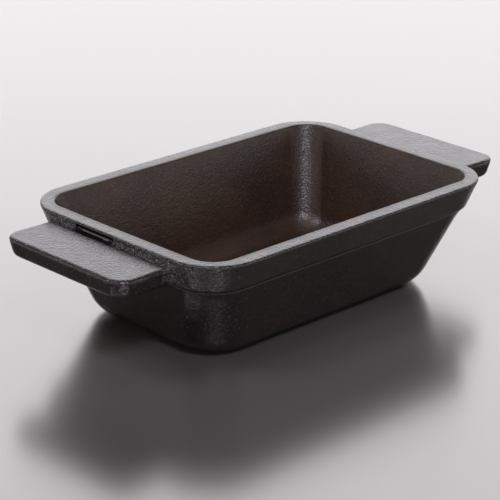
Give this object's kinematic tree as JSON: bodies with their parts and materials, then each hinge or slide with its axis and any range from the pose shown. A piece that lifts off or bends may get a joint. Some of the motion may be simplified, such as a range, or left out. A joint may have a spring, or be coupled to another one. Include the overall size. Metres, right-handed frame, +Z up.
{
  "type": "casserole dish",
  "caption": "Rectangular cast iron dish with tapered walls, a thicker band round the rim and a flat tab handle at each short end, for baking and serving a single portion.",
  "frame": {"origin": "centre of the flat base, on the surface the dish stands on", "axes": "+X along the dish towards the plain handle, +Y across it, +Z up out of the base; the handle at -X has the notch"},
  "size_m": [0.2168, 0.1108, 0.0473],
  "materials": {
    "seasoned_cast_iron": "black seasoned iron, semi-gloss, with a fine cast texture"
  },
  "bodies": {
    "root": {"casserole_dish": "seasoned_cast_iron"}
  },
  "joints": []
}
